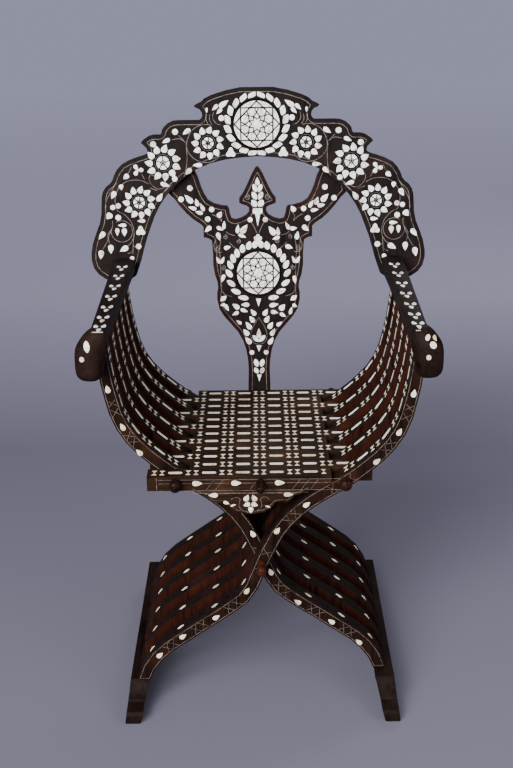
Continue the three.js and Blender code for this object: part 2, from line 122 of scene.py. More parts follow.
def linear(hex_text):
    """An sRGB hex colour as linear RGBA."""
    channels = [int(hex_text[i:i + 2], 16) / 255 for i in (0, 2, 4)]
    return [c / 12.92 if c <= 0.04045 else ((c + 0.055) / 1.055) ** 2.4 for c in channels] + [1.0]


def scale(size):
    """The scale of a pattern whose marks are so many millimetres apart."""
    return 1.0 / (size * MM)


def node(tree, kind, settings=None, inputs=None, links=None):
    """Adds a shader node with its settings, constant inputs and links from other nodes."""
    n = tree.nodes.new("ShaderNode" + kind)
    for key, value in (settings or {}).items():
        setattr(n, key, value)
    for key, value in (inputs or {}).items():
        n.inputs[key].default_value = value
    for key, (source, output) in (links or {}).items():
        tree.links.new(source.outputs[output], n.inputs[key])
    return n


def new_material(name):
    """A material with only a coordinate node, and the link that gives a pattern its place."""
    mat = bpy.data.materials.new(name)
    mat.use_nodes = True
    mat.node_tree.nodes.clear()
    place = node(mat.node_tree, "TexCoord")
    return mat, mat.node_tree, {"Vector": (place, "Object")}


def ramp_stops(tone, stops):
    """Gives a colour ramp its stops: (place, hex colour)."""
    elements = tone.color_ramp.elements
    while len(elements) < len(stops):
        elements.new(0.5)
    for element, (place, hex_text) in zip(elements, stops):
        element.position = place
        element.color = linear(hex_text)


def walnut(name, grain_axis, light, dark, worn="3a2218", roughness=0.34):
    """Waxed walnut: dark streaks along the grain and paler rubbed patches. The pores are drawn
    four times too coarse, so that they just break up the shine."""
    mat, tree, on_piece = new_material(name)
    stretch = [1.0, 1.0, 1.0]
    stretch["XYZ".index(grain_axis)] = ALONG_GRAIN
    mapping = node(tree, "Mapping", inputs={"Scale": stretch}, links=on_piece)
    on_grain = {"Vector": (mapping, "Vector")}
    streaks = node(tree, "TexNoise", links=on_grain,
                   inputs={"Scale": scale(STREAK), "Detail": 6.0, "Distortion": 0.6})
    tone = node(tree, "ValToRGB", links={"Fac": (streaks, "Fac")})
    ramp_stops(tone, [(0.3, dark), (0.52, light), (0.7, dark)])
    pores = node(tree, "TexNoise", inputs={"Scale": scale(PORE)}, links=on_grain)
    patches = node(tree, "TexNoise", inputs={"Scale": scale(PATCH), "Detail": 3.0}, links=on_piece)
    by_patch = {"Value": (patches, "Fac")}
    rubbed = node(tree, "MapRange", links=by_patch,
                  inputs={"From Min": 0.55, "From Max": 0.75, "To Max": 0.5})
    colour = node(tree, "Mix", {"data_type": "RGBA"}, {7: linear(worn)},
                  {0: (rubbed, "Result"), 6: (tone, "Color")})
    rough = node(tree, "MapRange", links=by_patch,
                 inputs={"To Min": roughness - 0.06, "To Max": roughness + 0.12})
    bump = node(tree, "Bump", inputs={"Strength": 0.25, "Distance": 0.0003},
                links={"Height": (pores, "Fac")})
    shader = node(tree, "BsdfPrincipled",
                  inputs={"IOR": 1.5, "Specular IOR Level": 0.05, "Coat Weight": 0.01,
                          "Coat Roughness": 0.2},
                  links={"Base Color": (colour, 2), "Roughness": (rough, "Result"),
                         "Normal": (bump, "Normal")})
    node(tree, "OutputMaterial", links={"Surface": (shader, "BSDF")})
    return mat


def polished_inlay(name, stops, roughness):
    """Shell or bone, sawn and polished flush: cloudy over 6 mm and from piece to piece, with a
    soft sheen."""
    mat, tree, on_piece = new_material(name)
    cloud = node(tree, "TexNoise", inputs={"Scale": scale(6.25), "Detail": 3.0},
                 links=on_piece)
    piece = node(tree, "Attribute", {"attribute_name": "shade"})
    both = node(tree, "Math", {"operation": "MULTIPLY_ADD"}, {1: 0.9},
                {0: (cloud, "Fac"), 2: (piece, "Fac")})
    tone = node(tree, "ValToRGB", links={"Fac": (both, "Value")})
    ramp_stops(tone, stops)
    shader = node(tree, "BsdfPrincipled", links={"Base Color": (tone, "Color")},
                  inputs={"Roughness": roughness, "IOR": 1.55, "Sheen Weight": 0.15,
                          "Coat Weight": 0.3, "Coat Roughness": 0.12})
    node(tree, "OutputMaterial", links={"Surface": (shader, "BSDF")})


def cloudy(name, size, detail, stops, inputs, rough=None):
    """A finish that is cloudy over so many mm, in colour and, where rough gives two, in gloss."""
    mat, tree, on_piece = new_material(name)
    cloud = node(tree, "TexNoise", inputs={"Scale": scale(size), "Detail": detail},
                 links=on_piece)
    tone = node(tree, "ValToRGB", links={"Fac": (cloud, "Fac")})
    ramp_stops(tone, stops)
    links = {"Base Color": (tone, "Color")}
    if rough:
        spread = node(tree, "MapRange", inputs={"To Min": rough[0], "To Max": rough[1]},
                      links={"Value": (cloud, "Fac")})
        links["Roughness"] = (spread, "Result")
    shader = node(tree, "BsdfPrincipled", inputs=inputs, links=links)
    node(tree, "OutputMaterial", links={"Surface": (shader, "BSDF")})
    return mat


# Making pieces

def in_scene(name, data):
    thing = bpy.data.objects.new(name, data)
    bpy.context.scene.collection.objects.link(thing)
    return thing


def made(name, bm, materials):
    """Turns a bmesh into an object at the origin."""
    mesh = bpy.data.meshes.new(name)
    bm.to_mesh(mesh)
    bm.free()
    for mat in materials:
        mesh.materials.append(mat)
    return in_scene(name, mesh)


def finish_mesh(name, bm, materials, body, replaced=()):
    """Turns a bmesh into an object that rides on a body."""
    piece = made(name, bm, materials)
    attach(piece, body)
    if replaced:
        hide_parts(*replaced)
    return piece


def merged_copy(name):
    """A CAD node's triangles as one bmesh with shared corners and whole flat faces."""
    bm = bmesh.new()
    bm.from_mesh(frame["nodes"][name].data)
    bmesh.ops.remove_doubles(bm, verts=bm.verts, dist=0.00002)
    bmesh.ops.dissolve_limit(bm, angle_limit=math.radians(1.5), verts=bm.verts, edges=bm.edges,
                             use_dissolve_boundaries=False)
    return bm


def eased_wood(name, mat, smooth_angle=32, side=None):
    """A wooden node's dressed copy with rounded edges; its front and back may take a second
    material, which on the staves carries painted light.
    """
    bm = merged_copy(name)
    for face in bm.faces:
        face.smooth = True
        face.material_index = 1 if side and abs(face.normal.y) > 0.9 else 0
    for edge in bm.edges:
        edge.smooth = edge.calc_face_angle(0.0) < math.radians(smooth_angle)
    piece = finish_mesh(name + "_wood", bm, [mat, side] if side else [mat], BODY_OF[name], [name])
    bevel = piece.modifiers.new("eased edges", "BEVEL")
    bevel.width = sizes().easing
    bevel.segments = 2
    bevel.limit_method = "ANGLE"
    bevel.angle_limit = math.radians(smooth_angle)
    bevel.harden_normals = True


# Faces that carry inlay

class Flat:
    """A flat face: u along it and v up it in mm from its origin, and h out of it in metres."""

    def __init__(self, origin, along, up):
        self.origin = Vector(origin)
        self.along, self.up = Vector(along).normalized(), Vector(up).normalized()
        self.out = self.along.cross(self.up)

    def at(self, u, v, h=0.0):
        return self.origin + (self.along * u + self.up * v) * MM + self.out * h

    def place(self, point):
        """A point of the chair as (u, v) on this face."""
        away = Vector(point) - self.origin
        return away.dot(self.along) / MM, away.dot(self.up) / MM


class Bend:
    """A stave's curved edge face: u is the length along its curve, v runs across to the back."""

    def __init__(self, points, middle, hand):
        self.points, self.middle, self.hand = points, middle, hand
        self.lengths = [0.0]
        for a, b in zip(points, points[1:]):
            self.lengths.append(self.lengths[-1] + math.dist(a, b))

    def at(self, u, v, h=0.0):
        i = min(max(bisect_right(self.lengths, u) - 1, 0), len(self.points) - 2)
        (x, z), (x1, z1) = self.points[i], self.points[i + 1]
        along = Vector((x1 - x, 0.0, z1 - z)) / (self.lengths[i + 1] - self.lengths[i])
        out = Vector((-along.z, 0.0, along.x)) * self.hand
        start = Vector((x, self.middle + v, z))
        return (start + along * (u - self.lengths[i])) * MM + out * h

    def nearest(self, x, z):
        """The length along the curve of its point nearest to (x, z)."""
        gaps = [math.dist(p, (x, z)) for p in self.points]
        return self.lengths[gaps.index(min(gaps))]


class Draped(Flat):
    """A rounded face: a place on an upright plane is carried straight back onto the wood."""

    def __init__(self, node_name, front):
        super().__init__((0, front * MM, 0), (1, 0, 0), (0, 0, 1))
        bm = merged_copy(node_name)
        self.tree = BVHTree.FromBMesh(bm)
        bm.free()

    def at(self, u, v, h=0.0):
        start = super().at(u, v, 0.2)
        place, normal, _, _ = self.tree.ray_cast(start, -self.out)
        if place is None:
            raise RuntimeError(f"inlay at {u:.0f}, {v:.0f} misses its wood")
        return place + normal * h


def outer_face(name, origin=(0, 0, 0), along=(1, 0, 0), up=(0, 0, 1)):
    """The outermost flat face of a node in one direction: its front, where none is given."""
    flat = Flat(origin, along, up)
    flat.origin += flat.out * max((v.co - flat.origin).dot(flat.out)
                                  for v in frame["nodes"][name].data.vertices)
    return flat


def upper_edge(name, hand):
    """The line of a stave's upper edge from foot to head, as (x, z) in mm."""
    ring = outline(name, outer_face(name))[:-1]
    runs, run = [], []
    for i in range(2 * len(ring)):
        (x0, z0), (x1, z1) = ring[(i - 1) % len(ring)], ring[(i + 1) % len(ring)]
        if x0 - x1 + hand * (z0 - z1) > 0.2 * math.hypot(x1 - x0, z1 - z0):
            run.append(ring[i % len(ring)])
        elif run:
            runs.append(run)
            run = []
    longest = max(runs, key=len)
    return longest if longest[0][1] < longest[-1][1] else longest[::-1]


def outline(name, flat):
    """The outer edge of a node's flat face every 2 mm, anticlockwise from its leftmost corner, as
    (u, v) in mm."""
    bm = merged_copy(name)
    chosen = {f for f in bm.faces if f.normal.dot(flat.out) > 0.999
              and abs((f.calc_center_median() - flat.origin).dot(flat.out)) < 0.0004}
    follows = {}
    for face in chosen:
        for loop in face.loops:
            if sum(f in chosen for f in loop.edge.link_faces) == 1:
                follows[loop.vert] = loop.link_loop_next.vert
    best, best_length = [], 0.0
    while follows:
        ring = [next(iter(follows))]
        while ring[-1] in follows:
            ring.append(follows.pop(ring[-1]))
        length = sum((a.co - b.co).length for a, b in zip(ring, ring[1:]))
        if length > best_length:
            best, best_length = [flat.place(v.co) for v in ring[:-1]], length
    bm.free()
    start = best.index(min(best))
    return even(best[start:] + best[:start + 1], 2.0)


def even(points, step):
    """A line of points drawn again at even steps."""
    total = sum(math.dist(a, b) for a, b in zip(points, points[1:]))
    count = max(2, round(total / step))
    pace, result, travelled, goal = total / count, [], 0.0, 0.0
    for a, b in zip(points, points[1:]):
        length = math.dist(a, b)
        while length > 0 and goal <= travelled + length + 1e-9 and len(result) < count:
            share = (goal - travelled) / length
            result.append((a[0] + (b[0] - a[0]) * share, a[1] + (b[1] - a[1]) * share))
            goal += pace
        travelled += length
    result.append(tuple(points[-1]))
    return result


def inset_line(ring, depth):
    """The line that runs inside a closed outline at a steady depth."""
    tree = KDTree(len(ring))
    for i, (u, v) in enumerate(ring):
        tree.insert((u, v, 0.0), i)
    tree.balance()
    moved = []
    for i, (u, v) in enumerate(ring[:-1]):
        (u0, v0), (u1, v1) = ring[i - 1 if i else -2], ring[i + 1]
        span = math.hypot(u1 - u0, v1 - v0) or 1.0
        place = (u - (v1 - v0) / span * depth, v + (u1 - u0) / span * depth)
        if tree.find((place[0], place[1], 0.0))[2] > depth - 0.35:
            moved.append(place)
    return moved + moved[:1]


def around(u, v, radius, degrees):
    angle = math.radians(degrees)
    return u + radius * math.cos(angle), v + radius * math.sin(angle)


def ring_line(u, v, radius, start=0.0, end=360.0, step=8.0):
    """A part of a circle, from start to end in degrees."""
    count = max(3, round(abs(end - start) / step))
    return [around(u, v, radius, start + (end - start) * k / count) for k in range(count + 1)]


def spiral_line(u, v, radius, hand):
    """A small scroll that winds in to its middle, in 17 steps of 30 degrees."""
    return [around(u, v, radius * (1 - 0.8 * k / 17), 90 + hand * 30 * k) for k in range(18)]


def curve_through(points):
    """A smooth line through a few measured places, drawn every 2.5 mm."""
    ends = [points[0], *points, points[-1]]
    drawn = []
    for a, b, c, d in zip(ends, ends[1:], ends[2:], ends[3:]):
        for k in range(8):
            t = k / 8
            drawn.append(tuple(0.5 * (
                2 * b[i] + (c[i] - a[i]) * t + (2 * a[i] - 5 * b[i] + 4 * c[i] - d[i]) * t * t
                + (3 * b[i] - a[i] - 3 * c[i] + d[i]) * t ** 3) for i in (0, 1)))
    return even(drawn + [tuple(points[-1])], 2.5)


# Inlay pieces: each shape turns the corners of a circle, given by their angle, into its own

PEARL, TIN, MASTIC, EDGING, BONE = range(5)
FINISHES = ("mother_of_pearl", "tin_stringing", "dark_mastic", "rosewood_edging", "camel_bone")


def round_leaf(angle):
    """A teardrop with its point ahead."""
    return math.cos(angle), math.sin(angle) * abs(math.sin(angle / 2)) ** 1.1 / 0.82


def petal(angle):
    """A fuller leaf, pointed ahead and a little narrower at its foot."""
    across = math.sin(angle) * abs(math.sin(angle / 2)) ** 0.5
    return math.cos(angle), across * (1.1 + 0.15 * math.cos(angle)) / 0.95


def tile(angle):
    """A slanting tile with rounded corners, one of them drawn out ahead."""
    along = math.copysign(abs(math.cos(angle)) ** 0.5, math.cos(angle))
    across = math.copysign(abs(math.sin(angle)) ** 0.5, math.sin(angle))
    return along * 0.9 + 0.3 * across, across * 0.95 + 0.1 * along


def oval(angle):
    return math.cos(angle), math.sin(angle)


def almond(angle):
    """A leaf with a point at both ends."""
    return math.cos(angle), math.sin(angle) * abs(math.sin(angle)) ** 0.5


def clover(angle):
    """Three rounded lobes in one piece, one of them ahead."""
    reach = 0.8 + 0.2 * math.cos(3 * angle)
    return reach * math.cos(angle), reach * math.sin(angle)


def bar(angle):
    """A long bar with pointed ends, from a circle of six corners."""
    across = math.sin(angle)
    along = math.copysign(0.84, math.cos(angle)) if abs(across) > 0.1 else math.cos(angle)
    return along, across / 0.866


def wedge(angle):
    """A triangle whose point is ahead."""
    return (math.cos(angle) + 0.5) / 0.75 - 1.0, math.sin(angle) / 0.866


SHAPES = {"leaf": (12, round_leaf), "petal": (12, petal), "tile": (12, tile), "disc": (14, oval),
          "bar": (6, bar), "wedge": (3, wedge), "plate": (48, oval), "lozenge": (4, oval),
          "almond": (12, almond), "clover": (24, clover)}    # with their number of corners


@cache
def stamp(kind):
    """A small let-in piece, one unit each way: its foot at -1, its rim at 0.5, its crown at 1."""
    corners, shape = SHAPES[kind]
    bm = bmesh.new()
    bmesh.ops.create_circle(bm, cap_ends=True, segments=corners, radius=1.0,
                            matrix=Matrix.Rotation(-math.pi / 2, 4, "Z"))
    for vert in bm.verts:
        vert.co.x, vert.co.y = shape(math.atan2(vert.co.y, vert.co.x))
        vert.co.z = -1.0
    raised = bmesh.ops.extrude_face_region(bm, geom=bm.faces[:])["geom"]
    for vert in (g for g in raised if isinstance(g, bmesh.types.BMVert)):
        vert.co.z = 0.5
    crown = [g for g in raised if isinstance(g, bmesh.types.BMFace)]
    bmesh.ops.inset_individual(bm, faces=crown, thickness=0.12)
    for vert in crown[0].verts:
        vert.co.z = 1.0
    bmesh.ops.poke(bm, faces=crown)
    mesh = bpy.data.meshes.new("stamp_" + kind)
    bm.to_mesh(mesh)
    bm.free()
    return mesh


class Inlay:
    """All the shell, bone, tin and mastic let into one wooden piece."""

    def __init__(self, node_name):
        self.node_name = node_name
        self.bm = bmesh.new()
        self.shade = self.bm.faces.layers.float.new("shade")
        self.pressed = 0

    def added(self, before):
        """The corners and faces that are new since there were so many of them."""
        self.bm.verts.ensure_lookup_table()
        self.bm.faces.ensure_lookup_table()
        return self.bm.verts[before[0]:], self.bm.faces[before[1]:]

    def set_in(self, vert, surface, u, v, lift):
        """Moves a corner to its place; its z is a share of the inlay's rise or depth."""
        share = sizes().inlay_rise if vert.co.z > 0 else sizes().inlay_depth
        vert.co = surface.at(u, v, share * vert.co.z + lift)

    def press(self, surface, kind, u, v, turn, length, width, material=PEARL, lift=0.0):
        """Lets one piece in at (u, v), turned anticlockwise in degrees, length and width in mm."""
        before = len(self.bm.verts), len(self.bm.faces)
        self.bm.from_mesh(stamp(kind))
        verts, faces = self.added(before)
        c, s = math.cos(math.radians(turn)), math.sin(math.radians(turn))
        for vert in verts:
            along, across = vert.co.x * length / 2, vert.co.y * width / 2
            self.set_in(vert, surface, u + along * c - across * s, v + along * s + across * c,
                        lift)
        self.pressed += 1
        for face in faces:
            face.material_index = material
            face[self.shade] = 0.34 * (self.pressed * 0.618 % 1.0)    # uneven, but never random

    def line(self, surface, points, width=None, material=TIN, rise=0.6, lift=0.0):
        """Lets a thin line in along points; one that ends where it starts is closed."""
        half = (width or sizes().string_width / MM) / 2
        before = len(self.bm.verts), len(self.bm.faces)
        count = len(points) - 1
        closed = math.dist(points[0], points[-1]) < 0.01
        bmesh.ops.create_grid(self.bm, x_segments=count, y_segments=1, size=1.0)
        strip = self.added(before)[0]
        for vert in strip:
            i = round((vert.co.x + 1.0) / 2.0 * count)
            ahead = points[(i + 1) % count if closed else min(i + 1, count)]
            behind = points[(i - 1) % count if closed else max(i - 1, 0)]
            span = math.dist(ahead, behind) or 1.0
            side = half if vert.co.y > 0 else -half
            vert.co = (points[i][0] - (ahead[1] - behind[1]) / span * side,
                       points[i][1] + (ahead[0] - behind[0]) / span * side, -1.0)
        if closed:
            bmesh.ops.remove_doubles(self.bm, verts=strip, dist=0.001)
        raised = bmesh.ops.extrude_face_region(self.bm, geom=self.added(before)[1])["geom"]
        for vert in (g for g in raised if isinstance(g, bmesh.types.BMVert)):
            vert.co.z = rise
        verts, faces = self.added(before)
        for vert in verts:
            self.set_in(vert, surface, vert.co.x, vert.co.y, lift)
        for face in faces:
            face.material_index = material

    def discs(self, surface, places, side):
        """Round pieces from a table of (u, v, radius), or their mirror image."""
        for u, v, radius in places:
            self.press(surface, "disc", side * u, v, 0, 2 * radius, 2 * radius)

    def stems(self, surface, lines, side):
        """Tin stems through measured places, or their mirror image."""
        for points in lines:
            self.line(surface, [(side * u, v) for u, v in curve_through(points)])

    def finish(self):
        bmesh.ops.recalc_face_normals(self.bm, faces=self.bm.faces)
        finish_mesh(self.node_name + "_inlay", self.bm,
                    [bpy.data.materials[name] for name in FINISHES], BODY_OF[self.node_name])


class CHAIR_OT_finishes(bpy.types.Operator):
    """Makes the shell, bone, tin, mastic and edging that the inlay is cut from"""
    bl_idname = "chair.finishes"
    bl_label = "Shell, bone, tin and mastic"

    def execute(self, context):
        look = colours()
        polished_inlay("mother_of_pearl", [(0.3, "a8988a"), (0.42, "cdbfb2"), (0.56, look.shell),
                                           (0.72, "ffffff"), (0.86, "c9cfcd")], 0.28)
        polished_inlay("camel_bone", [(0.3, "a8926f"), (0.45, "cdb995"), (0.62, look.bone),
                                      (0.85, "f4ecdb")], 0.4)
        # tin wire, hammered into its groove and rubbed flat: a thin, slightly dull grey line
        cloudy("tin_stringing", 8.333, 3.0, [(0.35, "4c453f"), (0.55, look.tin)],
               {"Metallic": 0.3}, (0.35, 0.6))
        # dark mastic, run into the joints between shell pieces: matt brown-black lines
        cloudy("dark_mastic", 3.333, 2.0, [(0.3, "080706"), (0.7, "14110e")],
               {"Roughness": 0.8, "Specular IOR Level": 0.02})
        walnut("rosewood_edging", "Z", "22100c", "120806", "351b14")
        return {"FINISHED"}


class CHAIR_OT_staves(bpy.types.Operator):
    """Dresses the twelve curved staves in walnut"""
    bl_idname = "chair.staves"
    bl_label = "Staves"

    def execute(self, context):
        look = colours()
        mat = walnut("waxed_walnut_stave", "Z", look.walnut_light, look.walnut_dark, roughness=0.6)
        # the staves' broad faces: partly the wood's redder tone, partly painted light, paler to
        # light the shaded gaps between staves
        side = walnut("stave_face_redder_with_painted_light", "Z", "2b120a", "100705", "421c0f", 0.42)
        front = walnut("waxed_walnut_stave_front", "Z", "1f110b", "0d0705", "422517", 0.42)
        for name in STAVES_A + STAVES_B:
            eased_wood(name, mat, side=front if name[-1] == "1" else side)
        return {"FINISHED"}


class CHAIR_OT_knobs(bpy.types.Operator):
    """Dresses the turned pins, nuts and knob in red-brown wood, and the horn screws in steel"""
    bl_idname = "chair.knobs"
    bl_label = "Turned pins and screws"

    def execute(self, context):
        red = walnut("turned_rosewood", "Y", "3a1c10", "150906", "6d4429", 0.26)
        brown = walnut("turned_walnut", "Y", "1e100b", "0d0705", "3a2116", 0.26)
        for name in ("cross_pin", "cross_nut", "left_pivot_pin", "left_pivot_nut",
                     "right_pivot_pin", "right_pivot_nut", "middle_pin", "seat_knob"):
            eased_wood(name, red if "cross" in name else brown, 50)
        # steel, filed and worn: grey metal, its fine tarnish drawn coarse enough to show
        steel = cloudy("worn_steel", 1.4286, 4.0, [(0.35, "4d4a46"), (0.65, "97938c")],
                       {"Metallic": 1.0}, (0.3, 0.55))
        for name in ("horn_screw_left", "horn_screw_right"):
            frame["nodes"][name].data.materials.clear()
            frame["nodes"][name].data.materials.append(steel)
        return {"FINISHED"}


class CHAIR_OT_seat(bpy.types.Operator):
    """Dresses the twelve seat slats and the apron in walnut"""
    bl_idname = "chair.seat"
    bl_label = "Seat"

    def execute(self, context):
        mat = walnut("waxed_walnut_slat", "X", "2b1b11", "130c08", "4a3220", 0.42)
        for name in SLATS_A + SLATS_B:
            eased_wood(name, mat)
        eased_wood("front_apron", mat)
        return {"FINISHED"}


class CHAIR_OT_boards(bpy.types.Operator):
    """Dresses the arms, runners, crest rail and splat in walnut"""
    bl_idname = "chair.boards"
    bl_label = "Arms, runners and back"

    def execute(self, context):
        look = colours()
        lengthwise = walnut("waxed_walnut_board", "Y", look.walnut_light, look.walnut_dark,
                            "33241e", 0.62)
        upright = walnut("waxed_walnut_back", "Z", "1b1311", "0b0807", "33231e", 0.42)
        for name in ("arm_right", "arm_left", "runner_right", "runner_left"):
            eased_wood(name, lengthwise)
        for name in ("crest_rail", "back_splat"):
            eased_wood(name, upright)
        return {"FINISHED"}


# Inlay of the back

BOARD_FOOT = (0.0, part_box("back_splat")[0].y, 0.449)    # where the leaning back starts
LEAN = math.radians(7.0)
BOARD_UP = (0.0, math.sin(LEAN), math.cos(LEAN))
TRIM = 0.92    # white shell looks larger in the photograph than it is
JOINT = 2.6    # mm, the dark joints of a medallion, drawn wide enough to show
PETALS = 11    # of a flower

# Places on the crest's right half: right of the middle, up the board, then direction, length and
# width. A disc has a radius, a clover a direction, a medallion the radii of its shell and of its
# dark ring, and a flower its spokes, both radii and the petals' reach.
CREST_MEDALLION = (0, 561, 44.2, 50)
CREST_LEAVES = (
    (63, 600, 145, 24, 12), (80, 593, -45, 17, 9), (72, 586, -45, 16, 9), (96, 588, -90, 11, 5),
    (116, 484, 0, 20, 10), (134, 472, -45, 17, 11), (136, 548, -35, 19, 11),
    (176, 531, -25, 18, 10), (180, 447, -160, 20, 10), (256, 463, -40, 14, 12),
    (266, 443, -95, 12, 11), (282, 428, -60, 18, 12), (191, 423, 125, 20, 12),
    (292, 387, -50, 15, 15), (229, 377, 0, 17, 9), (308, 349, -50, 20, 12),
    (265, 322, -30, 20, 13), (291, 322, -90, 19, 13), (311, 311, -80, 20, 13),
    (251, 301, -60, 16, 10), (267, 369, 0, 18, 9), (263, 355, -90, 17, 12),
    (277, 356, -90, 17, 10))
CREST_DISCS = (
    (68, 573, 5.5), (158, 548, 5.7), (201, 525, 5.7), (161, 458, 5.2), (273, 407, 5),
    (284, 404, 5), (274, 384, 5.5), (236, 327, 5.5))
CREST_CLOVERS = ((51, 507, 90), (231, 357, 90))
CREST_SPRIG = (233, 476)
CREST_LOOP = (268, 357)
CREST_FLOWERS = (
    (95, 526, 6, 10.8, 17.4, 32.5), (183, 489, 5, 12.8, 18.8, 36), (232, 413, 6, 11.2, 17.4, 33))
CREST_LINES = (
    ((83, 584), (85, 573), (78, 563), (70, 560)), ((90, 580), (91, 570), (86, 561)),
    ((97, 583), (98, 572), (94, 563)),
    ((72, 508), (76, 498), (90, 490), (108, 490), (124, 498), (134, 511), (136, 526), (131, 542),
     (121, 554), (105, 561), (88, 560)),
    ((143, 462), (138, 478), (136, 501), (137, 524), (131, 542)),
    ((139, 528), (145, 535), (151, 541)), ((139, 528), (150, 535), (164, 533)),
    ((212, 449), (228, 456), (249, 456), (265, 448), (276, 433), (279, 417), (275, 398),
     (262, 390), (249, 375), (244, 357), (246, 338), (248, 312)), ((220, 458), (225, 468)),
    ((245, 482), (250, 472), (262, 460)), ((275, 452), (281, 443), (296, 417), (299, 398)),
    ((286, 378), (286, 367), (293, 349), (299, 335), (307, 322)),
    ((288, 362), (296, 349), (293, 333)), ((245, 344), (251, 334), (258, 328)),
    ((246, 328), (240, 324)), ((246, 321), (252, 315), (258, 313)),
    ((194, 459), (207, 467), (211, 457), (203, 444), (190, 439), (170, 449)),
    ((168, 447), (181, 434)), ((210, 441), (196, 436)))

# The same on the splat: its halves are alike, but not laid out alike.
SPLAT_MEDALLION = (0, 268, 42.6, 49.2)
SPLAT_RIGHT = (
    (133, 417, 47, 22, 13), (117, 411, 75, 18, 11), (106, 405, 60, 18, 9), (126, 402, 10, 17, 10),
    (113, 393, 10, 17, 9), (70, 396, 125, 15, 12), (59, 362, 120, 18, 9), (71, 357, 5, 15, 10),
    (95, 357, -40, 18, 12), (78, 343, 80, 18, 11), (28, 353, 125, 23, 14), (40, 352, 95, 18, 9),
    (36, 338, 200, 17, 9), (62, 320, -20, 17, 11), (71, 295, 115, 17, 8), (80, 295, 65, 17, 8),
    (73, 254, -80, 18, 9), (31, 203, 10, 20, 11), (48, 198, 50, 17, 14), (32, 188, -10, 17, 10),
    (49, 182, -30, 15, 9), (65, 191, 75, 17, 8), (73, 201, -25, 11, 9), (42, 164, 35, 15, 9),
    (14, 188, 60, 17, 12), (17, 174, 60, 17, 12), (24, 161, 58, 18, 12), (28.5, 147, 60, 18, 11),
    (24.5, 129, 58, 19, 11))
SPLAT_LEFT = (
    (136, 417, 47, 24, 13), (120, 410, 75, 17, 10), (110, 401, 63, 20, 9), (129, 399, 17, 18, 9),
    (116, 390, 15, 17, 9), (75, 386, 120, 14, 12), (67, 365, 95, 18, 8), (75, 358, 205, 16, 9),
    (99, 357, -42, 18, 11), (78, 342, -105, 18, 11), (27, 357, 126, 23, 14), (40, 357, 97, 19, 9),
    (31, 343, 205, 18, 9), (61, 320, 165, 15, 10), (71, 295, 115, 17, 8), (80, 295, 65, 17, 8),
    (71, 258, -72, 18, 9), (27, 204, 0, 18, 11), (46, 201, 35, 18, 12), (29, 192, 200, 17, 9),
    (47, 186, -28, 16, 9), (64, 198, -118, 17, 9), (72, 204, -10, 11, 8), (40, 168, 40, 14, 8),
    (11, 188, 52, 17, 11), (14, 174, 55, 17, 12), (21, 161, 56, 20, 12), (26, 147, 52, 18, 12),
    (22, 130, 51, 20, 12))
SPLAT_PAIRS = (
    (5, 437, 70, 17, 9), (6, 422, 62, 17, 10), (6.5, 407, 55, 16, 12), (6.5, 134, 48, 18, 9),
    (6, 83, 72, 17, 10), (6, 67, 62, 14, 9))
SPLAT_DISCS = (
    (15, 375, 5), (133, 438, 5.5), (151, 416.5, 5.5), (91, 396, 5.3), (99, 377, 5.4),
    (14.5, 105, 4.7))
SPLAT_SCROLLS = ((20, 419, 5.5), (65, 341, 5), (39, 332, 5), (81, 318, 6), (70, 279, 5))
SPLAT_LINES = (
    ((13, 371), (7, 360), (2, 348)), ((68, 390), (73, 382), (71, 372)),
    ((71, 372), (80, 381), (90, 386)), ((63, 352), (57, 347), (46, 344)),
    ((74, 334), (77, 316), (76, 303), (75, 269), (75, 239), (68, 226), (54, 221)),
    ((57, 330), (47, 320), (38, 314)), ((83, 336), (88, 326), (84, 312), (72, 311)),
    ((0, 178), (6, 168), (12, 158), (16, 146), (16, 136), (11, 126), (0, 121)))
SPLAT_WREATH = (5.5, 18, 32, 46, 59, 73, 90, 110, 129, 148.5)    # degrees from the top
SPLAT_MIDDLE_LEAVES = (
    (0, 450, 90, 16, 10), (0, 374, -90, 24, 10), (0, 208, -90, 16, 10), (0, 145, 90, 19, 10),
    (0, 113, -90, 13, 10), (0, 51, -90, 15, 9))


def flower(inlay, face, u, v, spokes, radius, ring, reach, side):
    """A round of shell cut in segments, a dark ring with a tin line, a whirl of pointed petals."""
    shell_on_mastic(inlay, face, u, v, radius, ring)
    inlay.line(face, ring_line(u, v, (radius + ring) / 2 + 0.5, step=15), 0.35)
    lift = 0.3 * sizes().inlay_rise
    for k in range(spokes):
        end = around(u, v, radius, 360 / spokes * k + 20)
        inlay.line(face, [(u, v), end], 2.1, MASTIC, 1.0, lift)
    inlay.line(face, ring_line(u, v, radius * 0.36, step=45), 1.8, MASTIC, 1.0, lift)
    start = ring + 0.8
    for k in range(PETALS):
        angle = 360 / PETALS * (k + 0.5)
        inlay.press(face, "leaf", *around(u, v, (reach + start) / 2, angle), angle + 16 * side,
                    reach - start, 2 * (ring + 5) * math.pi / PETALS)


def medallion(inlay, face, u, v, radius, ring):
    """The star medallion: a shell disc cut by an eightfold star, and a dark ring."""
    shell_on_mastic(inlay, face, u, v, radius, ring)

    def spot(share, degrees):
        return around(u, v, radius * share, degrees)

    cuts = []
    for square in (0, 45):
        corners = [spot(0.99, square + 90 * k) for k in range(5)]
        cuts += zip(corners, corners[1:])
    for k in range(8):
        axis = 22.5 + 45 * k
        cuts.append(ring_line(*spot(0.57, axis), 0.215 * radius, axis, axis + 360, 60))
        cuts.append((spot(0.36, axis), spot(0.21, axis + 22.5), spot(0.36, axis + 45)))
    for cut in cuts:
        inlay.line(face, cut, JOINT, MASTIC, 1.0, 0.3 * sizes().inlay_rise)


def shell_on_mastic(inlay, face, u, v, radius, ring):
    inlay.press(face, "plate", u, v, 0, 2 * ring, 2 * ring, MASTIC, lift=-0.00015)
    inlay.press(face, "plate", u, v, 0, 2 * radius, 2 * radius)


def facing(turn, side):
    """A direction, or on the left side its mirror image."""
    return turn if side > 0 else 180 - turn


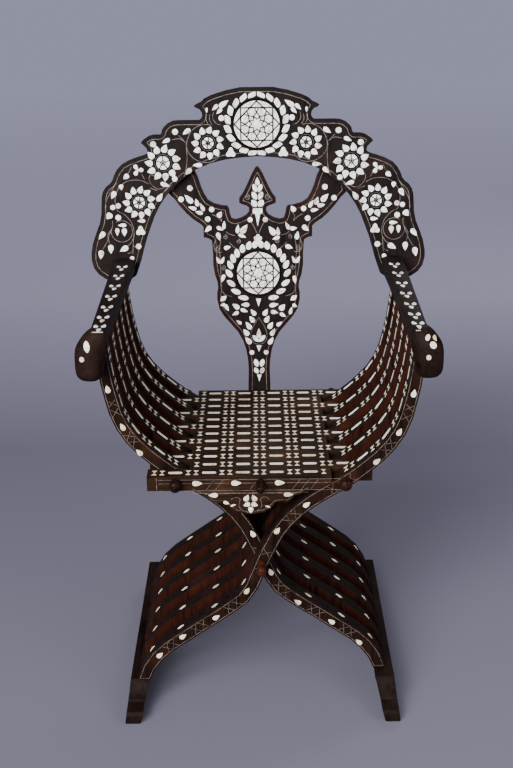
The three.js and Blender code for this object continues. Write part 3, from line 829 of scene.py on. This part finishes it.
def both_sides(places):
    """A table of places with direction, and its mirror image."""
    for u, v, turn, length, width in places:
        for side in (1, -1):
            yield side * u, v, facing(turn, side), length, width


def crest_inlay():
    face = outer_face("crest_rail", BOARD_FOOT, up=BOARD_UP)
    crest = Inlay("crest_rail")
    medallion(crest, face, *CREST_MEDALLION)
    u, v, _, ring = CREST_MEDALLION
    for angle in range(99, 99 + 360, 18):
        across = math.cos(math.radians(angle))
        reach = 9.5 + 3.5 * abs(across)
        crest.press(face, "tile", *around(u, v, ring + 0.3 + reach / 2, angle), angle, reach,
                    math.copysign(16.6, across))
    for u, v, turn, length, width in both_sides(CREST_LEAVES):
        crest.press(face, "leaf", u, v, turn, length * TRIM, width * TRIM)
    for side in (1, -1):
        crest.discs(face, CREST_DISCS, side)
        for u, v, turn in CREST_CLOVERS:
            crest.press(face, "clover", side * u, v, turn, 21, 20)
        u, v = CREST_SPRIG
        for k in (120, 240, 0):
            crest.press(face, "leaf", *around(side * u, v, 5.5, k), k + 180, 12, 9)
        for u, v, spokes, radius, ring, reach in CREST_FLOWERS:
            flower(crest, face, side * u, v, spokes, radius, ring, reach, side)
        u, v = CREST_LOOP
        crest.line(face, ring_line(side * u, v, 21, 90 - 30 * side, 90 + 270 * side))
        crest.stems(face, CREST_LINES, side)
    crest.line(face, inset_line(outline("crest_rail", face), 8.5))
    crest.finish()


def splat_inlay():
    face = outer_face("back_splat", BOARD_FOOT, up=BOARD_UP)
    splat = Inlay("back_splat")
    medallion(splat, face, *SPLAT_MEDALLION)
    for u, v, turn, length, width in both_sides(SPLAT_PAIRS):
        splat.press(face, "almond", u, v, turn, length, width)
    for u, v, turn, length, width in SPLAT_MIDDLE_LEAVES:
        splat.press(face, "leaf" if turn > 0 else "wedge", u, v, turn, length, width)
    splat.press(face, "bar", 0, 392, 0, 20, 11)
    for k in range(4):
        splat.press(face, "leaf", *around(0, 338, 4, 90 * k), 90 * k + 180, 8, 8)
    for side in (1, -1):
        splat.discs(face, SPLAT_DISCS, side)
        splat.press(face, "tile", side * 71, 217, 0, 12, 11)
        for u, v, turn, length, width in SPLAT_RIGHT if side > 0 else SPLAT_LEFT:
            splat.press(face, "leaf", side * u, v, facing(turn, side), length * TRIM, width * TRIM)
        u, v, _, ring = SPLAT_MEDALLION
        for away in SPLAT_WREATH:
            splat.press(face, "petal", *around(u, v, ring + 9.3, 90 - side * away),
                        90 - side * 0.72 * (away - 34), 16.5 + 0.03 * away, 11.8 - 0.01 * away)
        for u, v, radius in SPLAT_SCROLLS:
            splat.line(face, spiral_line(side * u, v, radius, side), 0.8)
        splat.stems(face, SPLAT_LINES, side)
    edge = outline("back_splat", face)
    splat.line(face, inset_line(edge, 3.9), 5.0, EDGING, 0.4)
    splat.line(face, inset_line(edge, 7.6))
    splat.finish()


class CHAIR_OT_back_inlay(bpy.types.Operator):
    """Lets the medallions, flowers, leaves and tin lines into the crest rail and the splat"""
    bl_idname = "chair.back_inlay"
    bl_label = "Inlay of the back"

    def execute(self, context):
        crest_inlay()
        splat_inlay()
        return {"FINISHED"}


# Inlay of the seat and the frame

FRONT_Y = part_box("seat_slat_a1")[0].y / MM    # mm, the front of the seat
REPEAT = 59.3    # mm from one bar to the next along a row
BAR_LENGTH, BAR_WIDTH = 25.5, 8.0
GLASS_LENGTH, GLASS_WIDTH = 8.4, 9.6    # each half of an hourglass
GLASS_AWAY = 22.8    # from a bar's middle to the hourglasses beside it
SEAT_PHASE = 28.8    # x of one bar's middle on the seat
# The front slat: x of its leaves, of its strings' ends and of its slanting strings.
SLAT_LEAVES = (-110, -42, 34)
SLAT_STRINGS = ((-178, -122), (-99, -54), (-31, 22), (45, 140))
SLAT_SLANTS = (-88, -72, -12, 2, 62, 78, 94)
# The apron: x and z with direction, length and width.
APRON_LEAVES = (
    (-83, 440, 180, 17, 10), (49, 440, 0, 17, 9), (-60, 425, -20, 11, 7),
    (-24.5, 434, 65, 14, 10.5), (-11.5, 434, 115, 14, 10.5), (-24.5, 421, 200, 12.5, 10),
    (-10.5, 421, -20, 12.5, 10), (-17.5, 410.5, -90, 12, 10), (-48, 420, 20, 10, 4),
    (12, 417, 160, 10, 4))
APRON_ARC = ((-52, 431), (-44, 436), (-36, 432), (-38, 418), (-30, 409), (-18, 405))
APRON_MIDDLE = -18
# Leaves on the front staves and on the legs' upper edges: x and z.
STAVE_FRONT_LEAVES = {
    "stave_a1": ((261, 628), (239, 557), (202, 502), (81, 420), (29, 369), (-26, 247),
                 (-83, 192), (-145, 152), (-189, 112)),
    "stave_b1": ((261, 628), (239, 557), (212, 508), (15, 345), (-17, 266), (-66, 202),
                 (-129, 159), (-181, 114))}
LEG_LEAVES = ((34, 258), (86, 206), (149, 161), (203, 115))
# Trefoils: their places behind the seat's front, and their three leaves: x, place and direction.
# Then each knuckle's strip: from x, to x, place behind the seat's front.
ARM_PLACES = (350, 288, 222, 158, 95, 38, -10)
ARM_TREFOIL = ((256, 9.5, 100), (269.5, 8.5, 80), (262.5, -12, -85))
ARM_STUBS = {"arm_left": (-272, -254, -31.5), "arm_right": (254.5, 262.5, -39.5)}
# The knuckles, as seen from the front: kind, x, z, direction, length and width.
KNUCKLE_PIECES = {
    "arm_left": (("almond", -281, 731, 96, 19, 10), ("disc", -290, 710, 0, 8, 9)),
    "arm_right": (("disc", 275, 740, 60, 10, 7), ("leaf", 287, 738, -60, 10, 6),
                  ("disc", 284, 728, -50, 13, 10), ("disc", 277, 708, 0, 8, 9))}
CHAIN_HEIGHT, CHAIN_STEP = 2, 19.5    # lozenges: above a runner's middle, and apart


def row(inlay, surface, first, last, phase, narrow=1.0):
    """A row of bars with two hourglasses between each pair, from first to last along a surface."""
    for k in range(math.floor((first - phase) / REPEAT), math.ceil((last - phase) / REPEAT) + 1):
        middle = phase + k * REPEAT
        start, end = max(middle - BAR_LENGTH / 2, first), min(middle + BAR_LENGTH / 2, last)
        if end - start > 6:
            inlay.press(surface, "bar", (start + end) / 2, 0, 0, end - start, BAR_WIDTH * narrow,
                        BONE)
        for away in (-GLASS_AWAY, GLASS_AWAY):
            if first + 2 < middle + away < last - 2:
                for side in (1, -1):
                    inlay.press(surface, "wedge", middle + away,
                                side * GLASS_LENGTH * 0.56 * narrow, -90 * side,
                                GLASS_LENGTH * narrow, GLASS_WIDTH, BONE)


def slat_front(slat, front):
    """Leaves, strings and slanting strings along the face of the front slat."""
    for x in SLAT_LEAVES:
        slat.press(front, "leaf", x, 463, 0, 18, 11, BONE)
    for z in (449, 470):
        slat.line(front, [(x, z) for x in range(-178, 150, 8)], 0.5)
    for first, last in SLAT_STRINGS:
        slat.line(front, [(first, 463), (last, 463)], 0.5)
    for x in SLAT_SLANTS:
        slat.line(front, [(x - 7, 450), (x + 7, 469)], 0.4)
    slat.line(front, [(-181, 446), (-181, 474)])


class CHAIR_OT_seat_inlay(bpy.types.Operator):
    """Lets bars and hourglasses into the seat, and leaves and tin lines into its front"""
    bl_idname = "chair.seat_inlay"
    bl_label = "Inlay of the seat"

    def execute(self, context):
        for name in SLATS_A + SLATS_B:
            low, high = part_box(name)
            face = outer_face(name, (0, (low.y + high.y) / 2, 0), up=(0, 1, 0))
            slat = Inlay(name)
            row(slat, face, low.x / MM + 6, high.x / MM - 6, SEAT_PHASE)
            if name == SLATS_A[0]:
                slat_front(slat, outer_face(name))
            slat.finish()
        front = outer_face("front_apron")
        apron = Inlay("front_apron")
        for x, z, turn, length, width in APRON_LEAVES:
            apron.press(front, "leaf", x, z, turn, length, width, BONE)
        arc = curve_through(APRON_ARC)
        for points in (arc, [(2 * APRON_MIDDLE - x, z) for x, z in arc], [(-98, 443), (60, 443)]):
            apron.line(front, points, 0.5)
        apron.line(front, inset_line(outline("front_apron", front), 4.5), 0.5)
        apron.finish()
        return {"FINISHED"}


def stave_front(stave, name, bend, hand):
    """Leaves along the face of a front stave, strings at its edges and crossings between them."""
    front = outer_face(name)
    places = [bend.nearest(hand * x, z) for x, z in STAVE_FRONT_LEAVES[name]]
    for i, (x, z) in zip(places, STAVE_FRONT_LEAVES[name]):
        a, b = bend.at(i - 4, 0), bend.at(i + 4, 0)
        turn = math.degrees(math.atan2(b.z - a.z, b.x - a.x))
        stave.press(front, "leaf", hand * x, z, turn, 15, 10, BONE)
    stave.line(front, inset_line(outline(name, front), 3.2), 0.6)
    for a, b in zip(places, places[1:]):
        for share in (0.38, 0.62):
            i = a + (b - a) * share
            for way in (1, -1):
                ends = [front.place(bend.at(i + 6 * way * k, 0, -(12.5 + 7.5 * k) * MM))
                        for k in (-1, 1)]
                stave.line(front, ends, 0.45)


class CHAIR_OT_frame_inlay(bpy.types.Operator):
    """Lets bars and leaves into the staves, trefoils into the arms and chains into the runners"""
    bl_idname = "chair.frame_inlay"
    bl_label = "Inlay of the frame"

    def execute(self, context):
        for names, hand in ((STAVES_A, 1), (STAVES_B, -1)):
            edge = upper_edge(names[0], hand)
            for name in names:
                low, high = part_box(name)
                stave = Inlay(name)
                bend = Bend(edge, (low.y + high.y) / 2 / MM, hand)
                seat, head = bend.nearest(hand * 140, 484), bend.nearest(hand * 250, 700)
                row(stave, bend, seat, head, bend.nearest(hand * 217, 548), 0.9)
                for x, z in LEG_LEAVES:
                    stave.press(bend, "almond", bend.nearest(-hand * x, z), 0, 180, 15.5, 8, BONE)
                if name == names[0]:
                    stave_front(stave, name, bend, hand)
                stave.finish()
        for name, side in (("arm_right", 1), ("arm_left", -1)):
            face = outer_face(name, up=(0, 1, 0))
            arm = Inlay(name)
            for back in ARM_PLACES:
                for x, y, turn in ARM_TREFOIL:
                    arm.press(face, "leaf", side * x, FRONT_Y + back + y, facing(turn, side),
                              16.5, 9)
            x, last, back = ARM_STUBS[name]
            arm.line(face, [(x, FRONT_Y + back), (last, FRONT_Y + back)], 2.0, BONE)
            knuckle = Draped(name, FRONT_Y)
            for kind, x, z, turn, length, width in KNUCKLE_PIECES[name]:
                arm.press(knuckle, kind, x, z, turn, length, width, BONE, 0.0004)
            arm.finish()
        for name, side in (("runner_right", 1), ("runner_left", -1)):
            face = outer_face(name, along=(0, side, 0), up=(-7 * side, 0, 58))
            chain = Inlay(name)
            low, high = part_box(name)
            for k in range(4, int((high.y - low.y) / MM / CHAIN_STEP)):
                u = side * (low.y / MM + CHAIN_STEP * k)
                chain.press(face, "lozenge", u, CHAIN_HEIGHT, 90, 18, 10, BONE)
                chain.press(face, "lozenge", u, CHAIN_HEIGHT, 90, 9, 4.5, EDGING, 0.0001)
            chain.finish()
        return {"FINISHED"}


# Stage: the softboxes' places, aims, watts and widths, and the photograph's camera

SOFTBOXES = (("key_softbox", (-1.6, -2.3, 2.5), (0, 0, 0.6), 40, 0.9),
             ("fill_softbox", (2.2, -1.8, 1.6), (0, 0, 0.5), 22, 1.2),
             ("back_softbox", (1.3, 2.6, 2.4), (0, 0, 0.6), 30, 1.2))
SUN_WAY, SUN_STRENGTH, SUN_WIDTH = (0.36, 0.83, -0.38), 5.6, 38    # width in degrees
CAMERA_PLACE = (0.0, -2.0967, 1.3839)
CAMERA_PITCH, CAMERA_YAW, CAMERA_ROLL = 21.347, 0.15, -0.65    # degrees
CAMERA_LENS, SENSOR_HEIGHT = 56.25, 36.0    # mm


def aimed(way):
    """The turn of a lamp that shines in a direction."""
    return Vector(way).to_track_quat("-Z", "Y").to_euler()


class CHAIR_OT_stage(bpy.types.Operator):
    """Makes the floor, the studio lights and the camera"""
    bl_idname = "chair.stage"
    bl_label = "Stage"

    def execute(self, context):
        # matt studio paper: a darker band of painted shade behind the chair, and paler painted
        # light far away
        mat, tree, on_piece = new_material("studio_paper_painted_shade_and_light")
        parts = node(tree, "SeparateXYZ", links=on_piece)
        tone = node(tree, "MapRange", inputs={"From Min": -0.4, "From Max": 8.0},
                    links={"Value": (parts, "Y")})
        shade = node(tree, "ValToRGB", links={"Fac": (tone, "Result")})
        ramp_stops(shade, [(0.0, colours().floor), (0.07, "646171"), (0.16, "575464"),
                           (0.33, "7c7a8d"), (1.0, colours().wall)])
        paper = node(tree, "BsdfPrincipled", inputs={"Roughness": 0.9},
                     links={"Base Color": (shade, "Color")})
        node(tree, "OutputMaterial", links={"Surface": (paper, "BSDF")})
        bm = bmesh.new()
        bmesh.ops.create_grid(bm, x_segments=1, y_segments=1, size=40.0)
        floor = made("floor", bm, [mat])

        world = bpy.data.worlds.new("studio")
        world.use_nodes = True
        air = world.node_tree
        sky = air.nodes["Background"]
        sky.inputs["Color"].default_value = linear("c8c8d8")
        way = node(air, "TexCoord")
        parts = node(air, "SeparateXYZ", links={"Vector": (way, "Generated")})
        depth = node(air, "MapRange", links={"Value": (parts, "Y")}, inputs={
            "From Min": -1.0, "From Max": 0.4, "To Min": 1.3, "To Max": 0.22})
        air.links.new(depth.outputs["Result"], sky.inputs["Strength"])
        bpy.context.scene.world = world

        sun = bpy.data.lights.new("broad_front_light", "SUN")
        sun.energy = SUN_STRENGTH
        sun.angle = math.radians(SUN_WIDTH)
        in_scene("broad_front_light", sun).rotation_euler = aimed(SUN_WAY)
        for name, place, aim, power, width in SOFTBOXES:
            data = bpy.data.lights.new(name, "AREA")
            data.energy = power
            data.size = width
            lamp = in_scene(name, data)
            lamp.location = place
            lamp.rotation_euler = aimed(Vector(aim) - Vector(place))

        data = bpy.data.cameras.new("photo_camera")
        data.sensor_fit = "VERTICAL"
        data.sensor_height = SENSOR_HEIGHT
        data.lens = CAMERA_LENS
        camera = in_scene("photo_camera", data)
        camera.matrix_world = (Matrix.Translation(CAMERA_PLACE)
                               @ Matrix.Rotation(math.radians(CAMERA_YAW), 4, "Z")
                               @ Matrix.Rotation(math.radians(90 - CAMERA_PITCH), 4, "X")
                               @ Matrix.Rotation(math.radians(CAMERA_ROLL), 4, "Z"))
        bpy.context.scene.camera = camera
        return {"FINISHED"}


class CHAIR_PT_panel(bpy.types.Panel):
    """Lists the chair's pieces in the 3D view's sidebar"""
    bl_idname = "CHAIR_PT_panel"
    bl_label = "Armchair"
    bl_space_type = "VIEW_3D"
    bl_region_type = "UI"
    bl_category = "Armchair"

    def draw(self, context):
        for group in (sizes(), colours()):
            for key in group.__annotations__:
                self.layout.prop(group, key)
        for operator in OPERATORS:
            self.layout.operator(operator.bl_idname)


OPERATORS = (CHAIR_OT_finishes, CHAIR_OT_staves, CHAIR_OT_seat, CHAIR_OT_boards, CHAIR_OT_knobs,
             CHAIR_OT_back_inlay, CHAIR_OT_seat_inlay, CHAIR_OT_frame_inlay, CHAIR_OT_stage)
CLASSES = (ChairSizes, ChairColours) + OPERATORS + (CHAIR_PT_panel,)


def register():
    for cls in CLASSES:
        bpy.utils.register_class(cls)
    bpy.types.Scene.chair_sizes = PointerProperty(type=ChairSizes)
    bpy.types.Scene.chair_colours = PointerProperty(type=ChairColours)


def unregister():
    del bpy.types.Scene.chair_colours
    del bpy.types.Scene.chair_sizes
    for cls in reversed(CLASSES):
        bpy.utils.unregister_class(cls)


def main():
    register()
    for operator in OPERATORS:
        group, action = operator.bl_idname.split(".")
        getattr(getattr(bpy.ops, group), action)()


if __name__ == "__main__":
    main()
